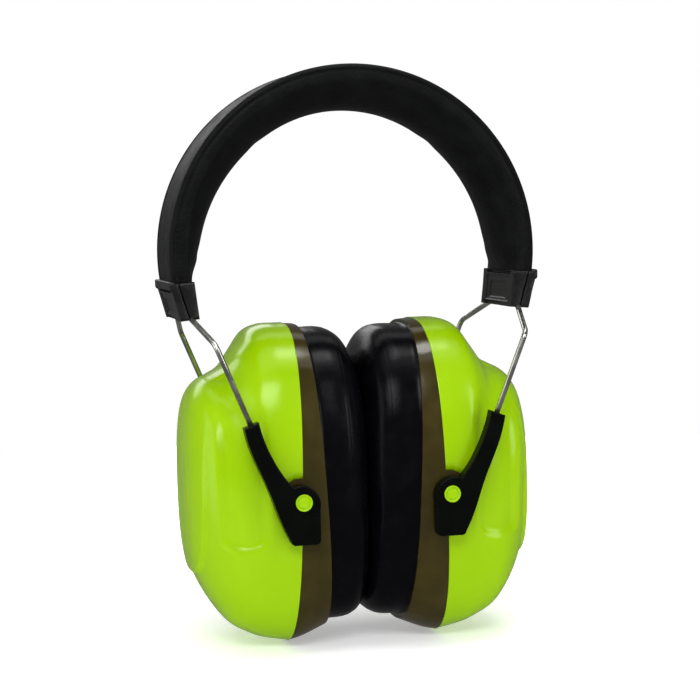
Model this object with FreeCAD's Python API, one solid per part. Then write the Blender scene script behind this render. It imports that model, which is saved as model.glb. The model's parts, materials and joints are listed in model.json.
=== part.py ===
"""Earmuff hearing protector: padded headband on sprung steel wires, with two tilting ear cups.

Frame: millimetres, +Z up, +X to one ear, -Y to the front. The origin is the middle of the
headband's underside, where it rests on the crown of the head. One side is modelled at +X
and mirrored across X = 0.
"""
import FreeCAD, Part
import math
import os

Vector = FreeCAD.Vector
os.makedirs("parts", exist_ok=True)

# ---------------------------------------------------------------- driving dimensions
# Headband: an arc about the front-to-rear axis, 65 mm outside and 50 mm inside at the crown
BAND_R_OUT = 65.0
BAND_R_IN = 50.0            # the pad's inner surface at the crown
BAND_R_IN_END = 54.5        # the pad is thinner at its ends
PINCH = 2.2                 # how far the clip squeezes the pad in
BAND_WIDTH = 35.0
BAND_CENTRE_Z = -BAND_R_IN
BAND_END_DEG = 98.5         # from the crown to the end of the cover
FLEX_DEG = 22.0             # where the crown ends and a flexing side begins
SPLIT_GAP = 0.15            # half the gap between crown and side pieces
COVER = 1.2                 # cover thickness
SPINE_R = (61.4, 63.6)      # flexible plastic strip that carries the wires
SPINE_WIDTH = 29.0

# Spring wires
WIRE_R = 0.95
WIRE_Y_BAND = 12.0          # half spacing of the two wires in the band
WIRE_Y_EXIT = 15.0          # where they leave the clip
WIRE_Y_ARM = 39.3           # where they run down into the arms
WIRE_R_BAND = 62.5
WIRE_LEAN_DEG = 22.0        # inward slope of the straight runs
EXIT_Z, BEND_Z, ARM_TOP_Z, WIRE_END_Z = -70.5, -79.0, -106.0, -124.0
ARM_TOP_X = 43.1

# Clip: corner points of its side view, top outer, bottom outer, bottom inner, top inner
CLIP = [(65.4, -59.3), (62.1, -72.0), (55.6, -71.4), (57.0, -58.4)]
CLIP_WIDTH = 37.0
CLIP_LIP = 0.9

# Cup: sections along X as (x, top z, bottom z, half depth); see outline() for their shape
SHELL = [
    (20.0, -74.7, -187.0, 36.5), (26.0, -74.7, -187.0, 36.5), (32.0, -74.9, -186.0, 36.4),
    (37.0, -77.0, -184.8, 36.2), (41.0, -82.5, -183.0, 35.8), (45.5, -88.8, -180.5, 35.0),
    (50.0, -92.2, -177.0, 33.4), (54.0, -94.8, -172.8, 30.6), (57.0, -98.0, -168.0, 26.8),
    (59.3, -102.5, -162.5, 22.0), (60.9, -108.5, -156.0, 16.8), (61.8, -117.0, -147.0, 11.5),
]
SHELL_WALL = 2.6
RING = [(4.0, -77.6, -180.0, 34.2), (14.0, -76.2, -182.4, 35.4), (20.0, -75.2, -185.0, 36.1),
        (26.0, -74.9, -186.8, 36.5), (30.0, -74.9, -186.8, 36.5)]
RING_WALL = 4.5
SEAM_X, SEAM_SLOPE = 25.3, -0.030    # shell-to-ring plane: x at the stud's height, dx/dz
SEAT_X, SEAT_SLOPE = 16.5, 0.053     # ring-to-cushion plane
PLATE = 1.8

# Ear cushion: the faces of the two cushions meet at X = 0
FACE_X = 0.16
CUSHION = [(24.0, -77.4, -180.0, 33.8), (14.0, -76.9, -180.4, 34.6), (7.0, -77.2, -180.0, 34.6),
           (3.0, -79.6, -178.4, 33.0), (1.0, -83.4, -176.0, 30.0), (FACE_X, -87.0, -173.3, 27.0)]
CUSHION_SKIN = 1.2
EAR_HOLE = [(24.0, -100.5, -160.5, 18.5), (8.0, -100.0, -161.0, 19.0), (-2.0, -96.0, -165.0, 22.5)]

# Studs and arms
STUD_X, STUD_Z = 25.9, -133.3
STUD_SHAFT_R, STUD_HEAD_R, STUD_CLEAR = 2.3, 3.0, 0.06
TAB_R = 7.6                 # round tab of the ring behind each arm
ARM_Y = (37.0, 41.6)
ARM_BOSS_R = 6.0


# ---------------------------------------------------------------- helpers
def outline(x, top, bottom, half_depth, inset=0.0, power=2.6, count=40):
    """Closed smooth wire in the plane X = x: a rounded oblong, front to rear and top to bottom."""
    mid, half_height = (top + bottom) / 2, max((top - bottom) / 2 - inset, 2.0)
    half_depth = max(half_depth - inset, 2.0)
    points = []
    for i in range(count):
        c, s = math.cos(2 * math.pi * i / count), math.sin(2 * math.pi * i / count)
        y = math.copysign(abs(c) ** (2 / power), c) * half_depth
        z = mid + math.copysign(abs(s) ** (2 / power), s) * half_height
        points.append(Vector(x, y, z))
    curve = Part.BSplineCurve()
    curve.interpolate(points, PeriodicFlag=True)
    return Part.Wire(curve.toShape())


def cup_loft(sections, inset=0.0, end_x=None):
    """Solid through oblong sections; end_x pulls the far sections in, for an inner surface."""
    start, end = sections[0][0], sections[-1][0]
    scale = 1.0 if end_x is None else (end_x - start) / (end - start)
    wires = [outline(start + (x - start) * scale, top, bottom, depth, inset)
             for x, top, bottom, depth in sections]
    return Part.makeLoft(wires, True, False)


def beyond(x_at_stud, slope, sign):
    """Half-space on one side of a nearly upright plane x = x_at_stud + slope * (z - STUD_Z)."""
    far = 120.0
    z_low, z_high = STUD_Z - far, STUD_Z + far
    edge = [(x_at_stud - slope * far, z_low), (x_at_stud + slope * far, z_high)]
    edge += [(edge[1][0] + sign * far, z_high), (edge[0][0] + sign * far, z_low)]
    return prism(edge, -far, far)


def prism(points_xz, y_low, y_high):
    corners = [Vector(x, y_low, z) for x, z in points_xz]
    face = Part.Face(Part.makePolygon(corners + corners[:1]))
    return face.extrude(Vector(0, y_high - y_low, 0))


def rod(radius, x, z, y_low, y_high):
    return Part.makeCylinder(radius, y_high - y_low, Vector(x, y_low, z), Vector(0, 1, 0))


def on_band(radius, degrees, y=0.0):
    """Point at a radius and an angle from the crown."""
    a = math.radians(degrees)
    return Vector(radius * math.sin(a), y, BAND_CENTRE_Z + radius * math.cos(a))


def sector(from_deg, to_deg):
    """Wedge of space about the band's axis, for cutting the band into crown and side."""
    reach, steps = 120.0, 4
    angles = [from_deg + (to_deg - from_deg) * i / steps for i in range(steps + 1)]
    rim = [on_band(reach, a) for a in angles]
    return prism([(0, BAND_CENTRE_Z)] + [(p.x, p.z) for p in rim], -60, 60)


def round_path(points, radius):
    """Polyline with its corners rounded by true arcs."""
    edges, start = [], points[0]
    for before, corner, after in zip(points, points[1:], points[2:]):
        a, b = (before - corner).normalize(), (after - corner).normalize()
        half = a.getAngle(b) / 2
        cut = radius / math.tan(half)
        mid = corner + (a + b).normalize() * (radius / math.sin(half) - radius)
        first, last = corner + a * cut, corner + b * cut
        edges.append(Part.LineSegment(start, first).toShape())
        edges.append(Part.Arc(first, mid, last).toShape())
        start = last
    edges.append(Part.LineSegment(start, points[-1]).toShape())
    return edges


def sweep_round(edges, radius):
    """Round bar along joined edges."""
    path = Part.Wire(edges)
    first = edges[0]
    at, along = first.valueAt(first.FirstParameter), first.tangentAt(first.FirstParameter)
    profile = Part.Wire(Part.makeCircle(radius, at, along))
    return path.makePipeShell([profile], True, False)


def both_ends(shape):
    """The shape and its mirror image across Y = 0, as one group of solids."""
    return Part.makeCompound([shape, shape.mirror(Vector(0, 0, 0), Vector(0, 1, 0))])


def largest(shape):
    return max(shape.Solids, key=lambda s: s.Volume)


# ---------------------------------------------------------------- headband
def pad_inner_radius(degrees):
    """The pad keeps its depth over the crown, thins towards its ends and is pinched at the clip."""
    run = max(0.0, (abs(degrees) - 40.0) / (BAND_END_DEG - 40.0))
    pinch = max(0.0, (abs(degrees) - 91.0) / (BAND_END_DEG - 91.0))
    return BAND_R_IN + (BAND_R_IN_END - BAND_R_IN) * run ** 1.5 + PINCH * pinch


def band_section(degrees, inset=0.0):
    """D-shaped section: flat outer face, rounded inner pad."""
    half = BAND_WIDTH / 2 - inset
    outer, edge = BAND_R_OUT - inset, 2.0
    inner = pad_inner_radius(degrees) + inset
    shoulder = BAND_R_OUT - 6.0 + 0.3 * inset

    def at(radius, y):
        return on_band(radius, degrees, y)

    bend = edge * (1 - math.sqrt(0.5))
    pieces = [
        Part.LineSegment(at(outer, -half + edge), at(outer, half - edge)),
        Part.Arc(at(outer, half - edge), at(outer - bend, half - bend), at(outer - edge, half)),
        Part.LineSegment(at(outer - edge, half), at(shoulder, half)),
        Part.Arc(at(shoulder, half), at(inner, 0), at(shoulder, -half)),
        Part.LineSegment(at(shoulder, -half), at(outer - edge, -half)),
        Part.Arc(at(outer - edge, -half), at(outer - bend, -half + bend), at(outer, -half + edge)),
    ]
    return Part.Wire([p.toShape() for p in pieces])


def band_loft(from_deg, to_deg, inset=0.0):
    count = max(3, int(round(abs(to_deg - from_deg) / 9.0)) + 1)
    step = (to_deg - from_deg) / (count - 1)
    return Part.makeLoft([band_section(from_deg + step * i, inset) for i in range(count)], True, False)


def spine_strip(from_deg, to_deg):
    """Part of a flat ring about the band's axis, cut to an angle."""
    low, high = SPINE_R
    disc = rod(high, 0, BAND_CENTRE_Z, -SPINE_WIDTH / 2, SPINE_WIDTH / 2)
    disc = disc.cut(rod(low, 0, BAND_CENTRE_Z, -SPINE_WIDTH / 2 - 1, SPINE_WIDTH / 2 + 1))
    return disc.common(sector(from_deg, to_deg))


def crown_wires():
    edge = arc_edge(-FLEX_DEG + gap_deg(), FLEX_DEG - gap_deg(), WIRE_Y_BAND)
    return both_ends(sweep_round([edge], WIRE_R))


def arc_edge(from_deg, to_deg, y):
    mid = (from_deg + to_deg) / 2
    return Part.Arc(*[on_band(WIRE_R_BAND, a, y) for a in (from_deg, mid, to_deg)]).toShape()


def gap_deg():
    return math.degrees(SPLIT_GAP / BAND_R_OUT)


def band_pieces(from_deg, to_deg, spine_to, wires):
    """Spine, foam and cover of one stretch of headband."""
    spine = spine_strip(from_deg, spine_to).cut(wires)
    whole = band_loft(from_deg, to_deg)
    core = band_loft(from_deg, to_deg, COVER)
    filled = spine_strip(from_deg, spine_to)
    foam = largest(core.cut(filled))
    cover = whole.cut(core)
    return spine, foam, cover


# ---------------------------------------------------------------- spring wires and clip
def lean(z):
    """X of a wire's straight run at a height."""
    return ARM_TOP_X + (z - ARM_TOP_Z) * math.tan(math.radians(WIRE_LEAN_DEG))


def side_wire():
    """Rear wire of one side: over the band's end, out of the clip, splayed, then straight down."""
    start_deg, end_deg = FLEX_DEG + gap_deg(), 95.0
    arc = arc_edge(start_deg, end_deg, WIRE_Y_BAND)
    leave = on_band(WIRE_R_BAND, end_deg, WIRE_Y_BAND)
    a = math.radians(end_deg)
    tangent = Vector(math.cos(a), 0, -math.sin(a))
    points = [
        leave,
        leave + tangent * 6.0,
        Vector(58.9, WIRE_Y_EXIT, EXIT_Z),
        Vector(lean(BEND_Z), WIRE_Y_ARM, BEND_Z),
        Vector(lean(WIRE_END_Z), WIRE_Y_ARM, WIRE_END_Z),
    ]
    return sweep_round([arc] + round_path(points, 3.5), WIRE_R)


def clip_halves(wires, spine):
    """The band end clip: an outer and an inner half, closed round the spine and the wires."""
    half = CLIP_WIDTH / 2
    body = prism(CLIP, -half, half)
    body = body.makeFillet(0.9, [e for e in body.Edges if e.Length > 30])
    top_outer = CLIP[0]
    lip = prism([(top_outer[0] - 2.2, top_outer[1] - 0.5), (top_outer[0] - 1.5, top_outer[1] + CLIP_LIP),
                 (top_outer[0] + 0.3, top_outer[1] + CLIP_LIP), (top_outer[0] + 0.4, top_outer[1] - 2.0)],
                -half + 1, half - 1)
    body = body.fuse(lip)
    # sockets for the band's spine and the wires, and a shallow window at the foot of each face
    body = body.cut(spine).cut(wires)
    for side_y in (-1, 1):
        window = Part.makeBox(3.0, 7.0, 3.2, Vector(-1.5, -3.5, -1.6))
        window.rotate(Vector(0, 0, 0), Vector(0, 1, 0), 16)
        window.translate(Vector(63.3, side_y * 9.0, -69.5))
        body = body.cut(window)
    split_top, split_foot = 62.3, 58.9
    far = 40.0
    outer_side = prism([(split_top + 1.5, -55.0), (split_foot - 0.9, -75.0),
                        (split_foot + far, -75.0), (split_top + far, -55.0)], -30, 30)
    return body.common(outer_side), body.cut(outer_side)


# ---------------------------------------------------------------- arms and studs
def arm_blank():
    """Side view of one lever arm: a straight shaft that swings in to a square-footed boss."""
    shaft_out, shaft_in = Vector(45.4, 0, -107.3), Vector(40.5, 0, -105.4)
    outer = Part.BSplineCurve()
    outer.interpolate([shaft_out, Vector(42.7, 0, -117.0), Vector(37.6, 0, -129.0),
                       Vector(34.2, 0, -138.5), Vector(30.6, 0, -146.3)])
    inner = Part.BSplineCurve()
    inner.interpolate([Vector(29.2, 0, -128.0), Vector(32.0, 0, -124.7),
                       Vector(35.7, 0, -118.6), Vector(38.4, 0, -112.6), shaft_in])
    boss_top = Part.Arc(Vector(20.4, 0, -136.0), Vector(22.4, 0, -129.2), Vector(29.2, 0, -128.0))
    foot_out = Part.Arc(Vector(30.6, 0, -146.3), Vector(30.0, 0, -147.4), Vector(28.8, 0, -147.7))
    foot_in = Part.Arc(Vector(21.9, 0, -147.7), Vector(20.8, 0, -147.2), Vector(20.4, 0, -146.0))
    edges = [outer.toShape(), foot_out.toShape(),
             Part.LineSegment(Vector(28.8, 0, -147.7), Vector(21.9, 0, -147.7)).toShape(),
             foot_in.toShape(),
             Part.LineSegment(Vector(20.4, 0, -146.0), Vector(20.4, 0, -136.0)).toShape(),
             boss_top.toShape(), inner.toShape(),
             Part.LineSegment(shaft_in, shaft_out).toShape()]
    face = Part.Face(Part.Wire(Part.__sortEdges__(edges)))
    face.translate(Vector(0, ARM_Y[0], 0))
    return face.extrude(Vector(0, ARM_Y[1] - ARM_Y[0], 0))


def rear_arm():
    body = arm_blank()
    body = body.makeFillet(0.5, [e for e in body.Edges if e.BoundBox.YMin > ARM_Y[1] - 0.01])
    low = -141.0
    bore_start = Vector(lean(low), WIRE_Y_ARM, low)
    run = Vector(math.sin(math.radians(WIRE_LEAN_DEG)), 0, math.cos(math.radians(WIRE_LEAN_DEG)))
    body = body.cut(Part.makeCylinder(WIRE_R + STUD_CLEAR, 45.0, bore_start, run))
    clear = STUD_CLEAR
    body = body.cut(rod(STUD_SHAFT_R + clear, STUD_X, STUD_Z, ARM_Y[0] - 1, ARM_Y[1] + 1))
    return body.cut(rod(STUD_HEAD_R + clear, STUD_X, STUD_Z, ARM_Y[1] - 1.4, ARM_Y[1] + 1))


def rear_stud():
    """Snap stud: a shaft fixed in the ring, with a flat head let into the arm."""
    head_at = ARM_Y[1] - 1.35
    stud = rod(STUD_SHAFT_R, STUD_X, STUD_Z, 31.0, head_at + 0.5)
    stud = stud.fuse(rod(STUD_HEAD_R, STUD_X, STUD_Z, head_at, ARM_Y[1] + 0.1))
    return stud.removeSplitter()


# ---------------------------------------------------------------- cup
def cup_pieces():
    """Shell, ring, cushion plate, cushion skin, cushion foam, liner and studs of one cup."""
    seam_out, seam_in = beyond(SEAM_X, SEAM_SLOPE, 1), beyond(SEAM_X, SEAM_SLOPE, -1)
    seat_out, seat_in = beyond(SEAT_X, SEAT_SLOPE, 1), beyond(SEAT_X, SEAT_SLOPE, -1)
    plate_out = beyond(SEAT_X + PLATE, SEAT_SLOPE, 1)
    inner_end = SHELL[-1][0] - SHELL_WALL

    hollow = cup_loft(SHELL, SHELL_WALL, inner_end)
    tabs = both_ends(rod(TAB_R, STUD_X, STUD_Z, 33.5, 60.0))
    shell = cup_loft(SHELL).cut(hollow).common(seam_out)
    shell = largest(shell.cut(both_ends(rod(TAB_R + 0.1, STUD_X, STUD_Z, 30.0, 60.0))))

    ring_outer = cup_loft(RING).common(seat_out)
    ring = ring_outer.common(seam_in)
    tab_body = tabs.common(cup_loft(SHELL)).common(beyond(SEAM_X - 2.0, SEAM_SLOPE, 1))
    ring = ring.cut(cup_loft(RING, RING_WALL))
    for tab in tab_body.Solids:
        ring = ring.fuse(tab)
    ring = ring.common(both_box(36.5))
    plate = cup_loft(RING, RING_WALL).common(seat_out).cut(plate_out)
    ear_hole = cup_loft(EAR_HOLE)
    plate = plate.cut(ear_hole)

    cushion = cup_loft(CUSHION)
    foam = cup_loft(CUSHION, CUSHION_SKIN, FACE_X + CUSHION_SKIN)
    hole_walled = cup_loft(EAR_HOLE, -CUSHION_SKIN)
    foam = largest(foam.cut(hole_walled).common(seat_in))
    skin = largest(cushion.cut(ear_hole).common(seat_in).cut(foam))

    inside = cup_loft(SHELL, SHELL_WALL + 0.4, inner_end - 0.4)
    air = cup_loft(SHELL, SHELL_WALL + 11.0, inner_end - 11.0)
    liner = inside.common(seam_out).cut(air)
    studs = [rear_stud(), rear_stud().mirror(Vector(0, 0, 0), Vector(0, 1, 0))]
    liner = largest(liner.cut(both_ends(rod(TAB_R + 1.0, STUD_X, STUD_Z, 29.0, 60.0))))
    for stud in studs:
        ring = ring.cut(stud)
    return {
        "outer_shell": shell, "mounting_ring": largest(ring), "cushion_plate": plate,
        "cushion_skin": skin, "cushion_foam": foam, "foam_liner": liner,
        "pivot_studs": Part.makeCompound(studs),
    }


def both_box(half_depth):
    return Part.makeBox(200, 2 * half_depth, 400, Vector(-100, -half_depth, -300))


# ---------------------------------------------------------------- assemble
def side_pieces():
    """Every piece of the +X side, by its name without the side."""
    wire = side_wire()
    wires = both_ends(wire)
    start = FLEX_DEG + gap_deg()
    spine_end = BAND_END_DEG + 4.0
    spine, foam, cover = band_pieces(start, BAND_END_DEG, spine_end, wires)
    clip_outer, clip_inner = clip_halves(wires, spine_strip(start, spine_end))
    clip_space = prism(CLIP, -CLIP_WIDTH / 2, CLIP_WIDTH / 2).fuse(clip_outer)
    foam, cover = largest(foam.cut(clip_space)), largest(cover.cut(clip_space))
    arm = rear_arm()
    pieces = {
        "headband_spine": spine, "headband_foam": foam, "headband_cover": cover,
        "spring_wires": wires, "clip_outer": clip_outer, "clip_inner": clip_inner,
        "rear_arm": arm, "front_arm": arm.mirror(Vector(0, 0, 0), Vector(0, 1, 0)),
    }
    pieces.update(cup_pieces())
    return pieces


def save(name, shape):
    solids = [s for s in shape.Solids if s.Volume > 1.0]
    shape = solids[0] if len(solids) == 1 else Part.makeCompound(solids)
    shape.exportStep("parts/%s.step" % name)
    print(name, "solids", len(solids), "valid", shape.isValid(), "volume", round(shape.Volume))


def main():
    start = FLEX_DEG - gap_deg()
    wires = crown_wires()
    spine, foam, cover = band_pieces(-start, start, start, wires)
    save("crown_spine", spine)
    save("crown_foam", foam)
    save("crown_cover", cover)
    save("crown_spring_wires", wires)
    for name, shape in side_pieces().items():
        save("right_" + name, shape)
        save("left_" + name, shape.mirror(Vector(0, 0, 0), Vector(1, 0, 0)))


main()
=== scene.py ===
"""Looks for the earmuff hearing protector: its shells, studs, clips, cushions, band covers, wires
and spine are meshed here, and every part gets a procedural material.

The frame is the model's: +Z up, -Y to the front, the origin under the middle of the headband.
Shapes are written in millimetres for the right side (+X) and scaled by MM when they are meshed;
the left side is their mirror image. Everything else is in metres.
"""
import json
import math

import bmesh
import bpy
import numpy as np
from mathutils import Matrix, Vector

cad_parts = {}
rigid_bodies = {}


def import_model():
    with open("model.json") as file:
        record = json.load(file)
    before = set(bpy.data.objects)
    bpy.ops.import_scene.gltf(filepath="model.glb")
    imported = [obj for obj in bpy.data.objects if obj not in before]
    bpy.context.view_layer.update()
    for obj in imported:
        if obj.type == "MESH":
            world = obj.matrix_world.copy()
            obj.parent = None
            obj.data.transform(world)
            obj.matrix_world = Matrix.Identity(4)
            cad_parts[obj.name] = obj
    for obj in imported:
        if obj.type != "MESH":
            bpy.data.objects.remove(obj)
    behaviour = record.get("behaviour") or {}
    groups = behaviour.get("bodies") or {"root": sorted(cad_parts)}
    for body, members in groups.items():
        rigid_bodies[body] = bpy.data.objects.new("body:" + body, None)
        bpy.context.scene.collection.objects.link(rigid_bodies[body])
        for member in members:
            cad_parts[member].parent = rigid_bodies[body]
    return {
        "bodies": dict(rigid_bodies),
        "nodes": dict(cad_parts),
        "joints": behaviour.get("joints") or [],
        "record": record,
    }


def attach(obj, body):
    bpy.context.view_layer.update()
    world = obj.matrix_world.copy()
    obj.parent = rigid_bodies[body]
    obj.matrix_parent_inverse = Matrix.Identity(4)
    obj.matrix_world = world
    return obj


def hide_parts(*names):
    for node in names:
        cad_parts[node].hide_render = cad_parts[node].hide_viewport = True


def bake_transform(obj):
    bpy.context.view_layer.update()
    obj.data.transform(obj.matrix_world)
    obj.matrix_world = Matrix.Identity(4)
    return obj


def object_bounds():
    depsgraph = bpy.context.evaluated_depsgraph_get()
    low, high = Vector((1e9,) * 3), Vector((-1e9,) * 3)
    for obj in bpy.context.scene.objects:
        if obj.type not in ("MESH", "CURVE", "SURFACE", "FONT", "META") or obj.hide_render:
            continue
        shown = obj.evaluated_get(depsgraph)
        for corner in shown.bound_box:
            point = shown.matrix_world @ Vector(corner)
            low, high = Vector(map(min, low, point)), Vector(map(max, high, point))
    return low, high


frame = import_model()
cad_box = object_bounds()
MM = 0.001
SIDES = {"left": -1, "right": 1}
POINT_DECIMALS = 12  # mesh points are rounded to a picometre, so that all runs make the same ones


# ---------------------------------------------------------------- small maths
def smooth(low, high, value):
    """0 below low, 1 above high, and an eased step between."""
    t = np.clip((value - low) / (high - low), 0.0, 1.0)
    return t * t * (3 - 2 * t)


def through(points, count):
    """Evenly counted points along a smooth curve through a few points (Catmull-Rom)."""
    p = np.asarray(points, float)
    p = np.vstack([2 * p[0] - p[1], p, 2 * p[-1] - p[-2]])
    t = np.linspace(0, len(p) - 3 - 1e-9, count)
    i = t.astype(int)
    f = (t - i)[:, None]
    a, b, c, d = p[i], p[i + 1], p[i + 2], p[i + 3]
    return 0.5 * (2 * b + (c - a) * f + (2 * a - 5 * b + 4 * c - d) * f ** 2
                  + (3 * b - 3 * c + d - a) * f ** 3)


def oblong(count, power=2.6):
    """Unit rounded oblong, front to rear and bottom to top, starting at the rear."""
    t = np.linspace(0, 2 * np.pi, count, endpoint=False)
    c, s = np.cos(t), np.sin(t)
    size = (np.abs(c) ** power + np.abs(s) ** power) ** (-1 / power)
    return c * size, s * size


# ---------------------------------------------------------------- meshes
def grid_object(name, grid, caps=False, mirror=1):
    """Quad mesh from a rows x columns x 3 array in metres, whose rows are closed loops.

    It is mirrored across X = 0 when mirror is -1, and caps close its first and last rows.
    """
    rows, columns = grid.shape[:2]
    verts = np.round(grid.reshape(-1, 3) * np.array([mirror, 1, 1]), POINT_DECIMALS)
    verts += 0.0  # makes any negative zero positive
    faces = []
    for r in range(rows - 1):
        for c in range(columns):
            here, beyond = r * columns, (r + 1) * columns
            after = (c + 1) % columns
            faces.append((here + c, here + after, beyond + after, beyond + c))
    if caps:
        last = (rows - 1) * columns
        faces += [tuple(range(columns))[::-1], tuple(last + c for c in range(columns))]
    mesh = bpy.data.meshes.new(name)
    mesh.from_pydata(verts.tolist(), [], faces)
    work = bmesh.new()
    work.from_mesh(mesh)
    bmesh.ops.recalc_face_normals(work, faces=work.faces)
    work.to_mesh(mesh)
    work.free()
    mesh.shade_smooth()
    piece = bpy.data.objects.new(name, mesh)
    bpy.context.scene.collection.objects.link(piece)
    return piece


def grid_normals(grid):
    """Outward-pointing unit normals of a grid of closed loops that run outwards along +X."""
    along = np.gradient(grid, axis=0)
    around = (np.roll(grid, -1, axis=1) - np.roll(grid, 1, axis=1)) / 2
    n = np.cross(around, along)
    n /= np.maximum(np.linalg.norm(n, axis=2, keepdims=True), 1e-12)
    return n


SWELL_CAP = 0.5  # the most that air pressure moves a skin
HELD_ROWS = 10   # rows at each end of a skin that are clamped and stay put


def inflate(grid, held, steps, cap):
    """Swells a skin, a grid of closed loops in metres, by cloth simulation under air pressure.

    Held vertices stay put, steps are the rows and columns per simulated vertex, and no point
    moves further than cap. The cloth runs ten times larger than life, which suits its default
    weight, and its movement is then carried over to the full grid.
    """
    scale, frames, softening = 10.0, 12, 4
    row_at, col_at = np.arange(0, len(grid), steps[0]), np.arange(0, grid.shape[1], steps[1])
    coarse = grid[row_at][:, col_at]
    skin = grid_object("inflating", coarse * scale)
    group = skin.vertex_groups.new(name="held")
    group.add([int(i) for i in np.flatnonzero(held[row_at][:, col_at].ravel())], 1.0, "REPLACE")
    cloth = skin.modifiers.new("cloth", "CLOTH")
    cloth.settings.quality = 5
    cloth.settings.mass = 0.3
    cloth.settings.use_pressure = True
    cloth.settings.uniform_pressure_force = 4
    cloth.settings.vertex_group_mass = "held"
    cloth.settings.effector_weights.gravity = 0
    cloth.point_cache.frame_start, cloth.point_cache.frame_end = 1, frames
    for frame_number in range(1, frames + 1):
        bpy.context.scene.frame_set(frame_number)
    swollen = skin.evaluated_get(bpy.context.evaluated_depsgraph_get()).data
    moved = np.array([v.co[:] for v in swollen.vertices]).reshape(coarse.shape) / scale - coarse
    bpy.data.objects.remove(skin, do_unlink=True)
    bpy.context.scene.frame_set(1)
    length = np.linalg.norm(moved, axis=2, keepdims=True)
    moved *= np.minimum(1, cap / np.maximum(length, 1e-9))
    # soften its sharpest folds, then carry it over: from row to row first, then round the loops
    for _ in range(softening):
        ends = np.concatenate([moved[:1], moved, moved[-1:]])
        moved = (ends[:-2] + 2 * moved + ends[2:]) / 4
        moved = (np.roll(moved, 1, axis=1) + 2 * moved + np.roll(moved, -1, axis=1)) / 4
    rows = np.stack([[np.interp(np.arange(len(grid)), row_at, moved[:, c, k]) for k in range(3)]
                     for c in range(len(col_at))], axis=1)
    full = [[np.interp(np.arange(grid.shape[1]), col_at, rows[k, :, r], period=grid.shape[1])
             for k in range(3)] for r in range(len(grid))]
    return grid + np.moveaxis(np.array(full), 1, 2)


# ---------------------------------------------------------------- materials
def material(name, color, roughness, metallic=0.0, **sockets):
    """Principled material; further sockets are named with _ for their spaces."""
    made = bpy.data.materials.new(name)
    made.use_nodes = True
    shader = made.node_tree.nodes["Principled BSDF"]
    shader.inputs["Base Color"].default_value = (*color, 1)
    shader.inputs["Roughness"].default_value = roughness
    shader.inputs["Metallic"].default_value = metallic
    for socket, value in sockets.items():
        shader.inputs[socket.replace("_", " ")].default_value = value
    return made


def texture(made, kind, scale, **settings):
    """A procedural texture on the object's own coordinates, in repeats per metre."""
    nodes, links = made.node_tree.nodes, made.node_tree.links
    coords = nodes.new("ShaderNodeTexCoord")
    node = nodes.new(kind)
    for key, value in settings.items():
        if key in node.inputs:
            node.inputs[key].default_value = value
        else:
            setattr(node, key, value)
    node.inputs["Scale"].default_value = scale
    links.new(coords.outputs["Object"], node.inputs["Vector"])
    return node


def ramp(made, source, stops):
    """Colour ramp over a value, from stops of position and grey level or colour."""
    node = made.node_tree.nodes.new("ShaderNodeValToRGB")
    made.node_tree.links.new(source, node.inputs["Fac"])
    elements = node.color_ramp.elements
    while len(elements) < len(stops):
        elements.new(0.5)
    for element, (at, value) in zip(elements, stops):
        element.position = at
        element.color = (*value, 1) if isinstance(value, tuple) else (value, value, value, 1)
    return node.outputs["Color"]


def bump(made, height, strength, distance):
    """Adds a bump to the shader, on top of any it already has."""
    nodes, links = made.node_tree.nodes, made.node_tree.links
    shader = nodes["Principled BSDF"]
    node = nodes.new("ShaderNodeBump")
    node.inputs["Strength"].default_value = strength
    node.inputs["Distance"].default_value = distance
    if shader.inputs["Normal"].links:
        links.new(shader.inputs["Normal"].links[0].from_socket, node.inputs["Normal"])
    links.new(height, node.inputs["Height"])
    links.new(node.outputs["Normal"], shader.inputs["Normal"])


def vary(made, socket, noise, stops):
    """Lets a noise set one of the shader's sockets, within the range of its stops."""
    made.node_tree.links.new(ramp(made, noise, stops),
                             made.node_tree.nodes["Principled BSDF"].inputs[socket])


def lime_plastic(name):
    """High-visibility gloss plastic, with the faint orange peel of a moulded shell."""
    made = material(name, (0.325, 0.55, 0.001), 0.18, Specular_IOR_Level=0.34)
    cloud = texture(made, "ShaderNodeTexNoise", 60, Detail=3.0)
    vary(made, "Base Color", cloud.outputs["Fac"],
         [(0.35, (0.318, 0.545, 0.0006)), (0.65, (0.336, 0.565, 0.0012))])
    vary(made, "Roughness", cloud.outputs["Fac"], [(0.3, 0.16), (0.7, 0.25)])
    wave = texture(made, "ShaderNodeTexNoise", 22, Detail=1.0)
    bump(made, wave.outputs["Fac"], 0.08, 0.001)
    return made


def moulded(name, color, roughness, grain=0.15, size=1800, **sockets):
    """Moulded plastic with a fine spark-eroded texture and slight unevenness in its gloss."""
    made = material(name, color, roughness, **sockets)
    cloud = texture(made, "ShaderNodeTexNoise", 120, Detail=4.0)
    spread = 0.06
    vary(made, "Roughness", cloud.outputs["Fac"],
         [(0.3, max(0.05, roughness - spread)), (0.7, roughness + spread)])
    brighter = tuple(min(1.0, c * 1.3) for c in color)
    vary(made, "Base Color", cloud.outputs["Fac"], [(0.4, color), (0.7, brighter)])
    fine = texture(made, "ShaderNodeTexNoise", size, Detail=2.0)
    bump(made, fine.outputs["Fac"], grain, 0.0002)
    return made


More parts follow.
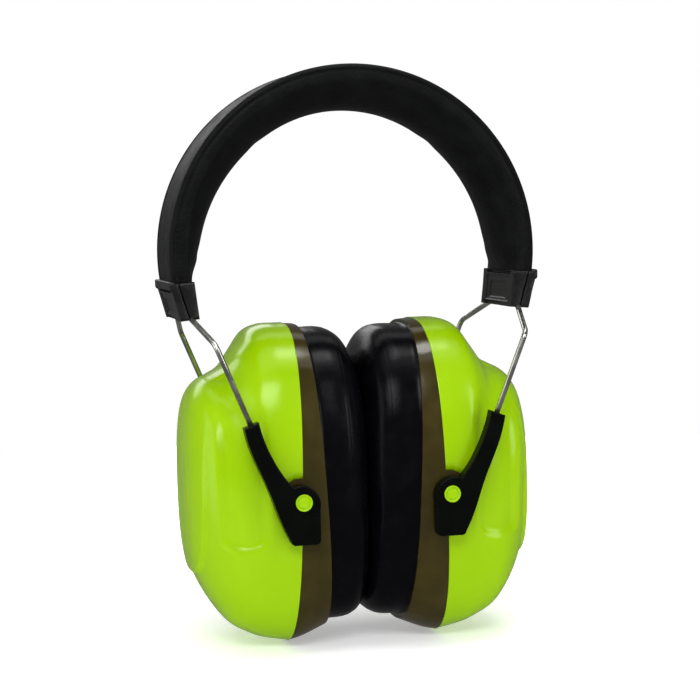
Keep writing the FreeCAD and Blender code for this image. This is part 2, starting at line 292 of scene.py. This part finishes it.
def leather(name, color, roughness, pore_scale, pore_depth, **sockets):
    """Synthetic leather: rounded pores, a broad unevenness, and gloss that follows the grain."""
    made = material(name, color, roughness, **sockets)
    pores = texture(made, "ShaderNodeTexVoronoi", pore_scale, feature="SMOOTH_F1")
    edges = ramp(made, pores.outputs["Distance"], [(0.0, 1.0), (0.75, 0.0)])
    broad = texture(made, "ShaderNodeTexNoise", 140, Detail=5.0)
    vary(made, "Roughness", broad.outputs["Fac"], [(0.3, roughness - 0.07), (0.7, roughness + 0.08)])
    worn = tuple(min(1.0, c * 1.6) for c in color)
    vary(made, "Base Color", broad.outputs["Fac"], [(0.4, color), (0.75, worn)])
    bump(made, broad.outputs["Fac"], 0.15, 0.0008)
    bump(made, edges, 0.4, pore_depth)
    return made


def foam(name, color):
    """Open-celled foam: dull, with deeper cells whose pits are painted darker, as painted shade."""
    made = material(name, color, 0.95)
    cells = texture(made, "ShaderNodeTexVoronoi", 900)
    # painted shade: each cell is darker towards its middle, where the bump sinks it deepest
    vary(made, "Base Color", cells.outputs["Distance"],
         [(0.1, tuple(c * 0.4 for c in color)), (0.6, color)])
    bump(made, cells.outputs["Distance"], 0.8, 0.0006)
    return made


def drawn_steel(name):
    """Bare drawn wire, brighter and smoother in places."""
    made = material(name, (0.6, 0.59, 0.56), 0.24, metallic=1.0)
    marks = texture(made, "ShaderNodeTexNoise", 160, Detail=2.0)
    vary(made, "Roughness", marks.outputs["Fac"], [(0.3, 0.18), (0.7, 0.36)])
    vary(made, "Base Color", marks.outputs["Fac"],
         [(0.35, (0.50, 0.49, 0.46)), (0.65, (0.70, 0.69, 0.66))])
    return made


MATERIALS = {
    "band_leather": leather("band_leather", (0.0055, 0.0058, 0.0062), 0.48, 1100, 0.00022,
                            Specular_IOR_Level=0.12, Sheen_Weight=0.012, Sheen_Roughness=0.35),
    "pad_foam": foam("pad_foam", (0.16, 0.16, 0.17)),
    "spine_plastic": moulded("spine_plastic", (0.02, 0.02, 0.022), 0.5),
    "spring_steel": drawn_steel("spring_steel"),
    "clip_plastic": moulded("clip_plastic", (0.009, 0.009, 0.0087), 0.38, 0.3,
                            Specular_IOR_Level=0.4),
    "arm_plastic": moulded("arm_plastic", (0.0025, 0.0034, 0.0027), 0.28, 0.12,
                           Specular_IOR_Level=0.11),
    "lime_shell": lime_plastic("lime_shell"),
    "lime_stud": lime_plastic("lime_stud"),
    "olive_ring": moulded("olive_ring", (0.044, 0.034, 0.0066), 0.15, 0.06,
                          Specular_IOR_Level=0.45),
    "plate_plastic": moulded("plate_plastic", (0.02, 0.02, 0.02), 0.5),
    "cushion_leather": leather("cushion_leather", (0.0022, 0.0023, 0.0034), 0.24, 2600, 0.00004,
                               Specular_IOR_Level=0.14),
    "cushion_foam": foam("cushion_foam", (0.20, 0.20, 0.19)),
    "liner_foam": foam("liner_foam", (0.035, 0.035, 0.038)),
}


def dress(piece, slot_name):
    """Gives a piece the material of a slot, and no other."""
    piece.data.materials.clear()
    piece.data.materials.append(MATERIALS[slot_name])


def place(piece, body, slot_name, *stands_for):
    """Dresses a piece, sets it on a body, and lets it stand for nodes of the model."""
    dress(piece, slot_name)
    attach(piece, body)
    if stands_for:
        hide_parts(*stands_for)
    return piece


for part in frame["record"]["subparts"]:
    dress(frame["nodes"][part["node"]], part["material_slot"])


# ---------------------------------------------------------------- outer shells
# Sections of a shell out along X: x, top z, bottom z, half depth, in millimetres
SHELL = [
    (22.0, -74.7, -187.0, 36.5), (26.0, -74.7, -187.0, 36.5), (32.0, -74.9, -186.0, 36.4),
    (37.0, -77.0, -184.8, 36.2), (41.0, -82.5, -183.0, 35.8), (45.5, -88.8, -180.5, 35.0),
    (50.0, -91.6, -176.6, 33.2), (54.0, -93.6, -171.8, 30.4), (57.0, -96.4, -166.6, 26.4),
    (59.1, -100.4, -161.5, 21.6), (60.4, -106.5, -155.0, 16.5), (61.1, -115.5, -146.0, 11.5),
]
STUD = (25.9, -133.3)                # x, z of the pivot
SEAM_X, SEAM_SLOPE = 25.3, -0.030    # shell-to-ring plane
SEAT_X, SEAT_SLOPE = 16.5, 0.053     # ring-to-cushion plane
PANEL = (-121.0, 40.0, 25.5)         # raised outer panel: mid z, half height, half depth
POCKET = (45.0, -98.0, -149.5, 9.5)  # grip pocket on front and rear: x, top, foot, half width
POCKET_DEPTH, POCKET_Y = 1.5, 15     # how deep it is, and how far from Y = 0 it starts
CHANNEL = (46.5, -95, 3.4)           # channel that the arm lies in: x and z of a point, half width
CHANNEL_LEAN = math.radians(22)
CHANNEL_DEPTH, CHANNEL_Y = 0.6, 12
RECESS = (7.7, 8.1)                  # round seat of the stud: radius of its floor and of its edge
RECESS_DEPTH, RECESS_Y = 1.6, 20
FACE_RINGS, FACE_BULGE = 18, 0.35    # rings that close the outer face, and how far it domes
RIM_END = 40                         # the rim is trimmed to the seam where x is below this
SEAM_GAP = 0.05                      # it stops this far short of the ring


def shell_grid():
    """Outer surface of a right-hand shell, with its raised panel, grip pockets and arm channels."""
    sections = through(SHELL, 96)
    y0, z0 = oblong(224)
    x = np.repeat(sections[:, :1], len(y0), axis=1)
    mid = (sections[:, 1] + sections[:, 2])[:, None] / 2
    half = (sections[:, 1] - sections[:, 2])[:, None] / 2
    grid = np.stack([x, y0 * sections[:, 3:4], mid + z0 * half], axis=2)
    # close the outer face with shrinking rings that bulge a little
    last, face = grid[-1], []
    centre = last.mean(axis=0)
    for share in np.linspace(0.93, 0.02, FACE_RINGS):
        ring = centre + (last - centre) * share
        ring[:, 0] += FACE_BULGE * (1 - share ** 2)
        face.append(ring)
    grid = np.concatenate([grid, np.array(face)])
    normal = grid_normals(grid)
    gx, gy, gz = grid[..., 0], grid[..., 1], grid[..., 2]

    # the ground round the panel is sunk, more towards its foot
    away = (np.abs(gy / PANEL[2]) ** 3 + np.abs((gz - PANEL[0]) / PANEL[1]) ** 3) ** (1 / 3)
    outside_panel = smooth(0.985, 1.03, away)
    push = -outside_panel * smooth(46, 56, gx) * (0.3 + 0.8 * (1 - smooth(-147, -118, gz)))

    # each pocket fades out upwards, and ends below in a curved edge
    px, top, foot, half = POCKET
    curved_foot = foot + 0.035 * (gx - px) ** 2
    across = 1 - smooth(0.55, 1.0, np.abs(gx - px) / half)
    pocket = across * smooth(curved_foot - 0.4, curved_foot + 0.9, gz)
    pocket *= 1 - smooth(top - 16, top, gz)
    push += -POCKET_DEPTH * pocket * (np.abs(gy) > POCKET_Y)

    cx, cz, wide = CHANNEL
    from_channel = (gx - cx - (gz - cz) * math.tan(CHANNEL_LEAN)) * math.cos(CHANNEL_LEAN)
    channel = np.exp(-(from_channel / wide) ** 2) * smooth(-128, -108, gz)
    channel *= 1 - smooth(-92, -80, gz)
    push += -CHANNEL_DEPTH * channel * (np.abs(gy) > CHANNEL_Y)

    to_stud = np.hypot(gx - STUD[0], gz - STUD[1])
    push += -RECESS_DEPTH * (1 - smooth(*RECESS, to_stud)) * (np.abs(gy) > RECESS_Y)
    grid = grid + normal * push[..., None]

    # the rim lies on the seam plane
    seam = SEAM_X + SEAM_SLOPE * (grid[..., 2] - STUD[1])
    rim = np.maximum(grid[..., 0], seam + SEAM_GAP)
    grid[..., 0] = np.where(grid[..., 0] < RIM_END, rim, grid[..., 0])
    return grid * MM


# Rings of the lip, from the rim in: how far in from the rim, and how far out along X, in metres
SHELL_LIP = [(0.0004, 0.0), (0.0026, 0.0), (0.0028, 0.006)]


def add_shell(side):
    """One shell, whose rim turns in to a lip that runs on a little way inside."""
    grid = shell_grid()
    rim = grid[0]
    mid = rim.mean(axis=0)
    lips = []
    for inset, depth in SHELL_LIP:
        ring = rim.copy()
        span = np.linalg.norm(ring[:, 1:] - mid[1:], axis=1, keepdims=True)
        ring[:, 1:] = mid[1:] + (ring[:, 1:] - mid[1:]) * (1 - inset / span)
        ring[:, 0] += depth
        lips.insert(0, ring)
    grid = np.concatenate([np.array(lips), grid])
    shell = grid_object(side + "_shell", grid, mirror=SIDES[side])
    return place(shell, side + "_cup", "lime_shell", side + "_outer_shell")


# ---------------------------------------------------------------- ear cushions
# The cushion's outside: x, top z, bottom z, half depth. Its top edge is rounded more than its foot.
CUSHION = [
    (17.9, -76.6, -181.0, 35.0), (17.2, -76.3, -181.2, 35.3), (16.0, -76.9, -180.7, 34.9),
    (14.0, -76.8, -180.4, 34.8), (10.5, -76.7, -180.3, 34.9), (8.2, -77.0, -180.1, 34.75),
    (7.4, -77.3, -179.9, 34.6), (6.6, -77.7, -179.8, 34.55), (4.8, -79.3, -179.1, 33.8),
    (3.1, -82.2, -178.2, 32.6), (1.5, -86.4, -176.6, 30.6), (0.7, -90.6, -174.4, 28.4),
]
# Its face and the wall of its ear hole: x, z of the mid height, half height, half depth
EAR_HOLE = [
    (0.26, -133.0, 38.0, 25.6), (0.32, -131.6, 35.4, 23.2), (1.0, -130.6, 33.1, 20.8),
    (2.8, -130.5, 31.2, 19.4), (5.5, -130.5, 30.1, 18.7), (9.0, -130.5, 29.8, 18.4),
    (13.0, -130.5, 30.0, 18.5), (17.6, -130.5, 30.2, 18.6),
]
CUSHION_FACE_X = 0.2  # x of its face, which all but touches the other cushion's
FACE_LIMIT = 0.18     # the least x that its swollen face may have
SEAT_SINK = 1.3       # how far its skirt reaches past the seat plane
CUSHION_MID_Z, CUSHION_HALF_Y, CUSHION_HALF_Z = -129, 34, 52


def cushion_grid():
    """Skin of a right-hand cushion: over its outside, across its face and into its ear hole."""
    outside = [(x, (top + low) / 2, (top - low) / 2, deep) for x, top, low, deep in CUSHION]
    section = through(outside + EAR_HOLE, 96)
    y0, z0 = oblong(240)
    y = y0 * section[:, 3:4]
    z = section[:, 1:2] + z0 * section[:, 2:3]
    x = np.repeat(section[:, :1], len(y0), axis=1)
    # the seat slopes, so the cushion is deeper at its top
    seat = SEAT_X + SEAT_SLOPE * (z - STUD[1])
    x = CUSHION_FACE_X + ((x - CUSHION_FACE_X) * (seat + SEAT_SINK - CUSHION_FACE_X)
                          / (CUSHION[0][0] - CUSHION_FACE_X))
    # a filled skin has slow swells round the tube
    turn = np.linspace(0, 2 * np.pi, len(y0), endpoint=False)
    swell = 0.10 * np.sin(5 * turn + 0.7) + 0.07 * np.sin(9 * turn + 2.1)
    wall = (np.arange(len(section)) < 0.5 * len(section))[:, None] * smooth(2, 5, section[:, :1])
    y = y * (1 + swell * wall / CUSHION_HALF_Y)
    z = CUSHION_MID_Z + (z - CUSHION_MID_Z) * (1 + swell * wall / CUSHION_HALF_Z)
    return np.stack([x, y, z], axis=2) * MM


def filled_cushion():
    """The cushion with its skin blown up, held where it is clamped to the ring."""
    grid = cushion_grid()
    held = np.zeros(grid.shape[:2], bool)
    held[:HELD_ROWS], held[-HELD_ROWS:] = True, True
    grid = inflate(grid, held, (2, 3), SWELL_CAP * MM)
    grid[..., 0] = np.maximum(grid[..., 0], FACE_LIMIT * MM)
    return grid


def add_cushion(side):
    """One ear cushion, which hides the foam inside it."""
    cushion = grid_object(side + "_ear_cushion", CUSHION_GRID, mirror=SIDES[side])
    place(cushion, side + "_cup", "cushion_leather", side + "_cushion_skin", side + "_cushion_foam")
    return cushion


# ---------------------------------------------------------------- pivot studs
# Head of a stud: radius, and height over the arm's face
STUD_HEAD = [(0.0, 0.0), (1.2, -0.03), (1.75, -0.12), (2.0, -0.32), (2.2, -0.2), (2.45, 0.06),
             (2.75, 0.08), (2.93, -0.1), (2.99, -0.5), (2.99, -1.3)]
STUD_SHAFT = [(2.3, -1.3), (2.3, -10.5)]
ARM_FACE_Y = 41.6  # outer face of an arm round its stud


def add_studs(side):
    """Both studs of a cup: dished, rimmed heads on plain shafts, turned about the pivot's axis."""
    profile = np.vstack([through(STUD_HEAD, 40), STUD_SHAFT])
    turn = np.linspace(0, 2 * np.pi, 64, endpoint=False)
    rows = [[(STUD[0] + r * math.cos(t), h, STUD[1] + r * math.sin(t)) for t in turn]
            for r, h in profile[1:]]
    grid = np.array(rows)
    for end, to_rear in (("front", -1), ("rear", 1)):
        placed = grid.copy()
        placed[..., 1] = to_rear * (ARM_FACE_Y + grid[..., 1])
        stud = grid_object(f"{side}_stud_{end}", placed * MM, caps=True, mirror=SIDES[side])
        place(stud, side + "_cup", "lime_stud", side + "_pivot_studs")


# ---------------------------------------------------------------- band end clips
CLIP_HALF, CLIP_FLAT_HALF = 18.5, 17.4  # half depth of a clip, and of its evenly cut part
CLIP_ROUND = 0.8                        # radius of the edges at its ends
CLIP_STEP = 0.5                         # about the spacing of its outline, apart from the face
# Side views, x and z, from the foot up the visible face: foot, face top, then round the back
CLIP_OUTER = [(62.1, -72.0), (65.0, -61.3), (65.75, -60.9), (65.8, -58.7), (65.3, -58.4),
              (63.9, -58.5), (63.3, -59.1), (62.6, -59.1), (58.95, -71.7)]
CLIP_INNER = [(55.6, -71.4), (57.0, -58.6), (62.5, -59.0), (58.8, -71.7)]


def within(value, low, high, soft):
    """1 inside an interval, with soft sides."""
    return smooth(low - soft, low + soft, value) * (1 - smooth(high - soft, high + soft, value))


def clip_relief(y, climb):
    """Depth of the sunk areas of a clip's face: y across it, climb from 0 at its foot to 1."""
    frame = within(y, -13.2, 13.2, 0.25) * within(climb, 0.14, 0.84, 0.02)
    inner = within(y, -9.5, 9.5, 0.25) * within(climb, 0.22, 0.66, 0.02)
    slot = within(y, -14.5, 14.5, 0.2) * within(climb, 0.905, 0.965, 0.012)
    foot = within(y, -5.0, 15.0, 0.3) * (1 - smooth(0.085, 0.11, climb))
    return 0.35 * frame + 0.3 * inner + 1.3 * slot + 1.0 * foot


def add_clip(side, which, corners, outward):
    """One clip half: slices along Y of its side view, with the relief sunk into its long face."""
    corners = [np.array(c) for c in corners]
    edge = []
    for k, (a, b) in enumerate(zip(corners, corners[1:] + corners[:1])):
        count = 64 if k == 0 else max(3, int(np.linalg.norm(b - a) / CLIP_STEP))
        for t in np.linspace(0, 1, count, endpoint=False):
            edge.append((a + (b - a) * t, t if k == 0 else None))
    points = np.array([p for p, _ in edge])
    to_middle = points.mean(axis=0) - points
    to_middle /= np.linalg.norm(to_middle, axis=1, keepdims=True)
    run = corners[1] - corners[0]
    normal = np.array([run[1], -run[0]]) / np.linalg.norm(run) * outward
    ends = [(CLIP_HALF - CLIP_ROUND + CLIP_ROUND * math.sin(a), CLIP_ROUND * (1 - math.cos(a)))
            for a in np.linspace(math.pi / 2, 0, 6)]
    slices = [(-y, inset) for y, inset in ends]
    slices += [(y, 0.0) for y in np.linspace(-CLIP_FLAT_HALF, CLIP_FLAT_HALF, 110)] + ends[::-1]
    rows = []
    for y, inset in slices:
        ring = points + to_middle * inset
        for i, (_, climb) in enumerate(edge):
            if climb is not None:
                ring[i] -= normal * clip_relief(y, climb)
        rows.append(np.stack([ring[:, 0], np.full(len(ring), y), ring[:, 1]], axis=1))
    clip = grid_object(f"{side}_clip_{which}_half", np.array(rows) * MM, caps=True,
                       mirror=SIDES[side])
    clip.modifiers.new("edges", "WEIGHTED_NORMAL").keep_sharp = True
    bevel = clip.modifiers.new("rounding", "BEVEL")
    bevel.width, bevel.segments, bevel.angle_limit = 0.0003, 2, math.radians(40)
    return place(clip, side + "_side", "clip_plastic", side + "_clip_" + which)


# ---------------------------------------------------------------- headband cover
BAND_CENTRE, BAND_OUT, BAND_HALF = -50.0, 65.0, 17.5  # z of its centre, outer radius, half depth
BAND_IN, BAND_IN_END = 50.0, 54.5  # inner radius at the crown and at the ends
BAND_END, THINS_FROM = 98.5, 40    # degrees from the crown: its end, and where the pad starts to thin
PINCH, PINCH_FROM = 2.3, 90.5      # how far the clip squeezes the pad, and from where, in degrees
FACE_EDGE = 5                      # the outer face is the part within this depth of the outer radius


def band_profile(inner):
    """Half section of the cover at the given inner radius: radius and y, from the outer face in."""
    shoulder = BAND_OUT - 6.0
    sag = shoulder - inner
    bow = (BAND_HALF ** 2 + sag ** 2) / (2 * sag)
    outer_face = [
        (BAND_OUT - 0.25, 0.0), (BAND_OUT - 0.22, 8.0), (BAND_OUT - 0.2, 13.4),
        (BAND_OUT - 0.45, 14.5), (BAND_OUT - 0.02, 15.5), (BAND_OUT - 0.35, 16.6),
        (BAND_OUT - 1.2, 17.3), (BAND_OUT - 2.3, 17.05), (BAND_OUT - 3.6, 17.4),
        (shoulder, BAND_HALF),
    ]
    pad = [(inner + bow - math.sqrt(bow ** 2 - y ** 2) - 0.25 * math.sin(math.pi * y / BAND_HALF), y)
           for y in (16.0, 13.5, 10.5, 7.0, 3.5, 0.0)]
    return outer_face + pad


def cover_grid():
    """Right half of the cover, from the crown out and down to the clip."""
    rows = []
    for degrees in np.linspace(0, BAND_END, 150):
        run = max(0.0, (degrees - THINS_FROM) / (BAND_END - THINS_FROM))
        pinch = PINCH * smooth(PINCH_FROM, BAND_END + 0.5, degrees)
        inner = BAND_IN + (BAND_IN_END - BAND_IN) * run ** 1.5 + pinch
        half = through(band_profile(inner), 60)
        section = np.concatenate([half, half[-2:0:-1] * [1, -1]])
        a = math.radians(degrees)
        rows.append(np.stack([section[:, 0] * math.sin(a), section[:, 1],
                              BAND_CENTRE + section[:, 0] * math.cos(a)], axis=1))
    return np.array(rows) * MM


def filled_cover():
    """The cover with its pad blown up, held over its outer face and in its clips."""
    half = cover_grid()
    whole = np.concatenate([(half * [-1, 1, 1])[:0:-1], half])
    radius = np.hypot(whole[..., 0], whole[..., 2] - BAND_CENTRE * MM)
    held = radius > (BAND_OUT - FACE_EDGE) * MM
    held[:HELD_ROWS], held[-HELD_ROWS:] = True, True
    right = inflate(whole, held, (2, 2), SWELL_CAP * MM)[len(half) - 1:]
    right[0, :, 0] = 0  # both halves meet at the crown
    return right


def follow_band(piece, side, slot_name, *kinds):
    """Dresses a piece that starts at the crown, and bakes its placement into its mesh.

    It stands for its side's nodes of the given kinds; the right-hand one also for the crown's.
    """
    dress(piece, slot_name)
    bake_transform(piece)
    nodes = []
    for kind in kinds:
        nodes.append(side + ("_spring_wires" if kind == "spring_wires" else "_headband_" + kind))
        if side == "right":
            nodes.append("crown_" + kind)
    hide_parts(*nodes)


def add_cover(side):
    """One half of the band's cover, which hides the foam inside it."""
    cover = grid_object(side + "_cover", COVER_GRID, mirror=SIDES[side])
    follow_band(cover, side, "band_leather", "cover", "foam")
    return cover


# ---------------------------------------------------------------- spring wires and spine
WIRE_R, WIRE_CORNER_R = 0.95, 3.5
WIRE_BAND_R, WIRE_BAND_Y, WIRE_BAND_END = 62.5, 12.0, 95   # in the band: radius, y, end in degrees
WIRE_RUN_ON = 6                                            # how far it goes straight on from there
WIRE_BEND = (58.9, 15.0, -70.5)                            # where it leaves the clip: x, y, z
WIRE_ARM_Y, WIRE_ARM_TOP, WIRE_FOOT = 39.3, -79.0, -124.0  # its straight run: y, z of both ends
WIRE_REF, WIRE_LEAN = (43.1, -106), math.radians(22)       # a point of that run, x and z; its lean
SPINE_IN, SPINE_OUT, SPINE_HALF, SPINE_END = 61.45, 63.55, 10.8, 102.5
CROWN_START = 0.1  # degrees off the crown at which the wires and the spine of a side start


def rounded(points, radius, steps=8):
    """Polyline with its corners rounded by arcs."""
    path = [points[0]]
    for before, corner, after in zip(points, points[1:], points[2:]):
        a = (before - corner) / np.linalg.norm(before - corner)
        b = (after - corner) / np.linalg.norm(after - corner)
        half = math.acos(a @ b) / 2
        centre = corner + (a + b) / np.linalg.norm(a + b) * radius / math.sin(half)
        cut = radius / math.tan(half)
        first, last = corner + a * cut - centre, corner + b * cut - centre
        turn = math.pi - 2 * half
        for f in np.linspace(0, 1, steps + 1):
            spoke = first * math.sin((1 - f) * turn) + last * math.sin(f * turn)
            path.append(centre + spoke / math.sin(turn))
    return np.array(path + [points[-1]])


def tube_grid(path, radius, count=20):
    """Rings of a round bar along a path that sets out square to Y."""
    alongs = np.gradient(path, axis=0)
    alongs /= np.linalg.norm(alongs, axis=1, keepdims=True)
    turn = np.linspace(0, 2 * np.pi, count, endpoint=False)
    across, rows = np.array([0.0, 1.0, 0.0]), []
    for at, along in zip(path, alongs):
        across = across - along * (across @ along)
        across /= np.linalg.norm(across)
        ring = np.outer(np.cos(turn), across) + np.outer(np.sin(turn), np.cross(along, across))
        rows.append(at + radius * ring)
    return np.array(rows)


def wire_x(z):
    """X of a wire's straight run at a height."""
    return WIRE_REF[0] + (z - WIRE_REF[1]) * math.tan(WIRE_LEAN)


def add_wires(side):
    """Both wires of one side: in the band, out of its clip, splayed, then straight into the arms."""
    for end, to_rear in (("front", -1), ("rear", 1)):
        a = np.radians(np.linspace(CROWN_START, WIRE_BAND_END, 120))
        arc = np.stack([WIRE_BAND_R * np.sin(a), np.full(len(a), to_rear * WIRE_BAND_Y),
                        BAND_CENTRE + WIRE_BAND_R * np.cos(a)], axis=1)
        down = np.array([math.cos(a[-1]), 0, -math.sin(a[-1])])
        corners = [arc[-1], arc[-1] + down * WIRE_RUN_ON, np.array(WIRE_BEND) * [1, to_rear, 1]]
        corners += [np.array([wire_x(z), to_rear * WIRE_ARM_Y, z]) for z in (WIRE_ARM_TOP, WIRE_FOOT)]
        path = np.vstack([arc[:-1], rounded(corners, WIRE_CORNER_R)])
        wire = grid_object(f"{side}_wire_{end}", tube_grid(path, WIRE_R) * MM, caps=True,
                           mirror=SIDES[side])
        follow_band(wire, side, "spring_steel", "spring_wires")


def add_spine(side):
    """The springy strip inside the band, between its two wires."""
    cut = 0.35  # its four edges are cut off by this much
    section = [(SPINE_IN + cut, -SPINE_HALF), (SPINE_IN, -SPINE_HALF + cut),
               (SPINE_IN, SPINE_HALF - cut), (SPINE_IN + cut, SPINE_HALF),
               (SPINE_OUT - cut, SPINE_HALF), (SPINE_OUT, SPINE_HALF - cut),
               (SPINE_OUT, -SPINE_HALF + cut), (SPINE_OUT - cut, -SPINE_HALF)]
    rows = []
    for a in np.radians(np.linspace(CROWN_START, SPINE_END, 110)):
        rows.append([(r * math.sin(a), y, BAND_CENTRE + r * math.cos(a)) for r, y in section])
    spine = grid_object(side + "_spine", np.array(rows) * MM, caps=True, mirror=SIDES[side])
    follow_band(spine, side, "spine_plastic", "spine")


CUSHION_GRID, COVER_GRID = filled_cushion(), filled_cover()
for side in SIDES:
    add_shell(side)
    add_cushion(side)
    add_studs(side)
    add_cover(side)
    add_wires(side)
    add_spine(side)
    add_clip(side, "outer", CLIP_OUTER, 1)
    add_clip(side, "inner", CLIP_INNER, -1)


# ---------------------------------------------------------------- camera, floor and light
AIM = Vector((0, 0, -0.0855))
AZIMUTH, ELEVATION, ROLL = map(math.radians, (-13.0, 4.15, -1.61))
DISTANCE, LENS, SHIFT_X = 0.720, 103.7, 0.0036
FLOOR_GAP, FLOOR_RADIUS = 0.0008, 0.6
ROOM_LIGHT, ROOM_SEEN = 0.2, 1.0  # strength of the room for the object, and for the camera


def add_camera():
    """Long lens from the front and a little to the left, slightly above and slightly rolled."""
    back = Vector((math.sin(AZIMUTH) * math.cos(ELEVATION),
                   -math.cos(AZIMUTH) * math.cos(ELEVATION), math.sin(ELEVATION)))
    right = Vector((math.cos(AZIMUTH), math.sin(AZIMUTH), 0))
    up = back.cross(right)
    right, up = (right * math.cos(ROLL) + up * math.sin(ROLL),
                 up * math.cos(ROLL) - right * math.sin(ROLL))
    data = bpy.data.cameras.new("camera")
    data.sensor_width = 36
    data.lens = LENS
    data.shift_x = SHIFT_X
    camera = bpy.data.objects.new("camera", data)
    bpy.context.scene.collection.objects.link(camera)
    turn = Matrix((right, up, back)).transposed().to_4x4()
    camera.matrix_world = Matrix.Translation(AIM + back * DISTANCE) @ turn
    bpy.context.scene.camera = camera


def add_floor():
    """Seamless paper under the cups, which glows as painted light: dimmer near the cups, and as
    bright far off as the room behind it.
    """
    low = cad_box[0].z - FLOOR_GAP
    bpy.ops.mesh.primitive_circle_add(vertices=96, radius=FLOOR_RADIUS, fill_type="NGON",
                                      location=(0, 0, low))
    floor = bpy.context.object
    floor.name = "floor"
    paper = material("floor_paper", (0.84, 0.84, 0.84), 0.8, Emission_Color=(1, 1, 1, 1),
                     Emission_Strength=0.6, Specular_IOR_Level=0.05)
    nodes, links = paper.node_tree.nodes, paper.node_tree.links
    coords = nodes.new("ShaderNodeTexCoord")
    far = nodes.new("ShaderNodeVectorMath")
    far.operation = "LENGTH"
    spread = nodes.new("ShaderNodeMapRange")
    spread.interpolation_type = "SMOOTHSTEP"
    # painted light: the paper's glow fades from 0.95 far off to 0.4 near the cups, so that their
    # shadows still show
    for socket, value in (("From Min", 0.1), ("From Max", 0.42), ("To Min", 0.4), ("To Max", 0.95)):
        spread.inputs[socket].default_value = value
    links.new(coords.outputs["Object"], far.inputs[0])
    links.new(far.outputs["Value"], spread.inputs["Value"])
    links.new(spread.outputs["Result"], nodes["Principled BSDF"].inputs["Emission Strength"])
    floor.data.materials.append(paper)
    floor.visible_glossy = False


def add_softbox(name, energy, location, aim, size, size_y):
    """Rectangular light in watts, turned to its aim, that the camera doesn't see."""
    data = bpy.data.lights.new(name, "AREA")
    data.energy = energy
    data.shape = "RECTANGLE"
    data.size, data.size_y = size, size_y
    light = bpy.data.objects.new(name, data)
    bpy.context.scene.collection.objects.link(light)
    light.location = location
    light.rotation_euler = (Vector(aim) - Vector(location)).to_track_quat("-Z", "Y").to_euler()
    light.visible_camera = False


def add_world():
    """Grey studio room that the camera sees as white paper."""
    world = bpy.data.worlds.new("studio")
    world.use_nodes = True
    nodes, links = world.node_tree.nodes, world.node_tree.links
    nodes.clear()
    room = nodes.new("ShaderNodeBackground")
    room.inputs["Color"].default_value = (1, 1, 1, 1)
    room.inputs["Strength"].default_value = ROOM_LIGHT
    paper = nodes.new("ShaderNodeBackground")
    paper.inputs["Color"].default_value = (1, 1, 1, 1)
    paper.inputs["Strength"].default_value = ROOM_SEEN
    ray = nodes.new("ShaderNodeLightPath")
    mix = nodes.new("ShaderNodeMixShader")
    out = nodes.new("ShaderNodeOutputWorld")
    links.new(ray.outputs["Is Camera Ray"], mix.inputs[0])
    links.new(room.outputs[0], mix.inputs[1])
    links.new(paper.outputs[0], mix.inputs[2])
    links.new(mix.outputs[0], out.inputs[0])
    bpy.context.scene.world = world


add_camera()
add_floor()
add_world()
add_softbox("overhead", 17.5, (0, 0.1, 1.5), (0, 0, 0), 2.2, 2.2)
add_softbox("top", 2.5, (0.22, -0.25, 1.15), (0, 0, -0.1), 0.35, 0.3)
add_softbox("key", 7.8, (-0.30, -1.0, 0.62), (0, 0, -0.1), 0.8, 0.42)
add_softbox("fill", 2.5, (0.75, -0.9, 0.20), (0, 0, -0.1), 0.3, 0.6)
add_softbox("side", 4.6, (-1.2, -0.15, 0.05), (0, 0, -0.12), 1.0, 1.0)
add_softbox("rim", 3, (-0.3, 1.4, 0.50), (0, 0, 0), 1.2, 0.4)
bpy.context.scene.view_settings.view_transform = "Standard"
bpy.context.scene.view_settings.gamma = 0.88
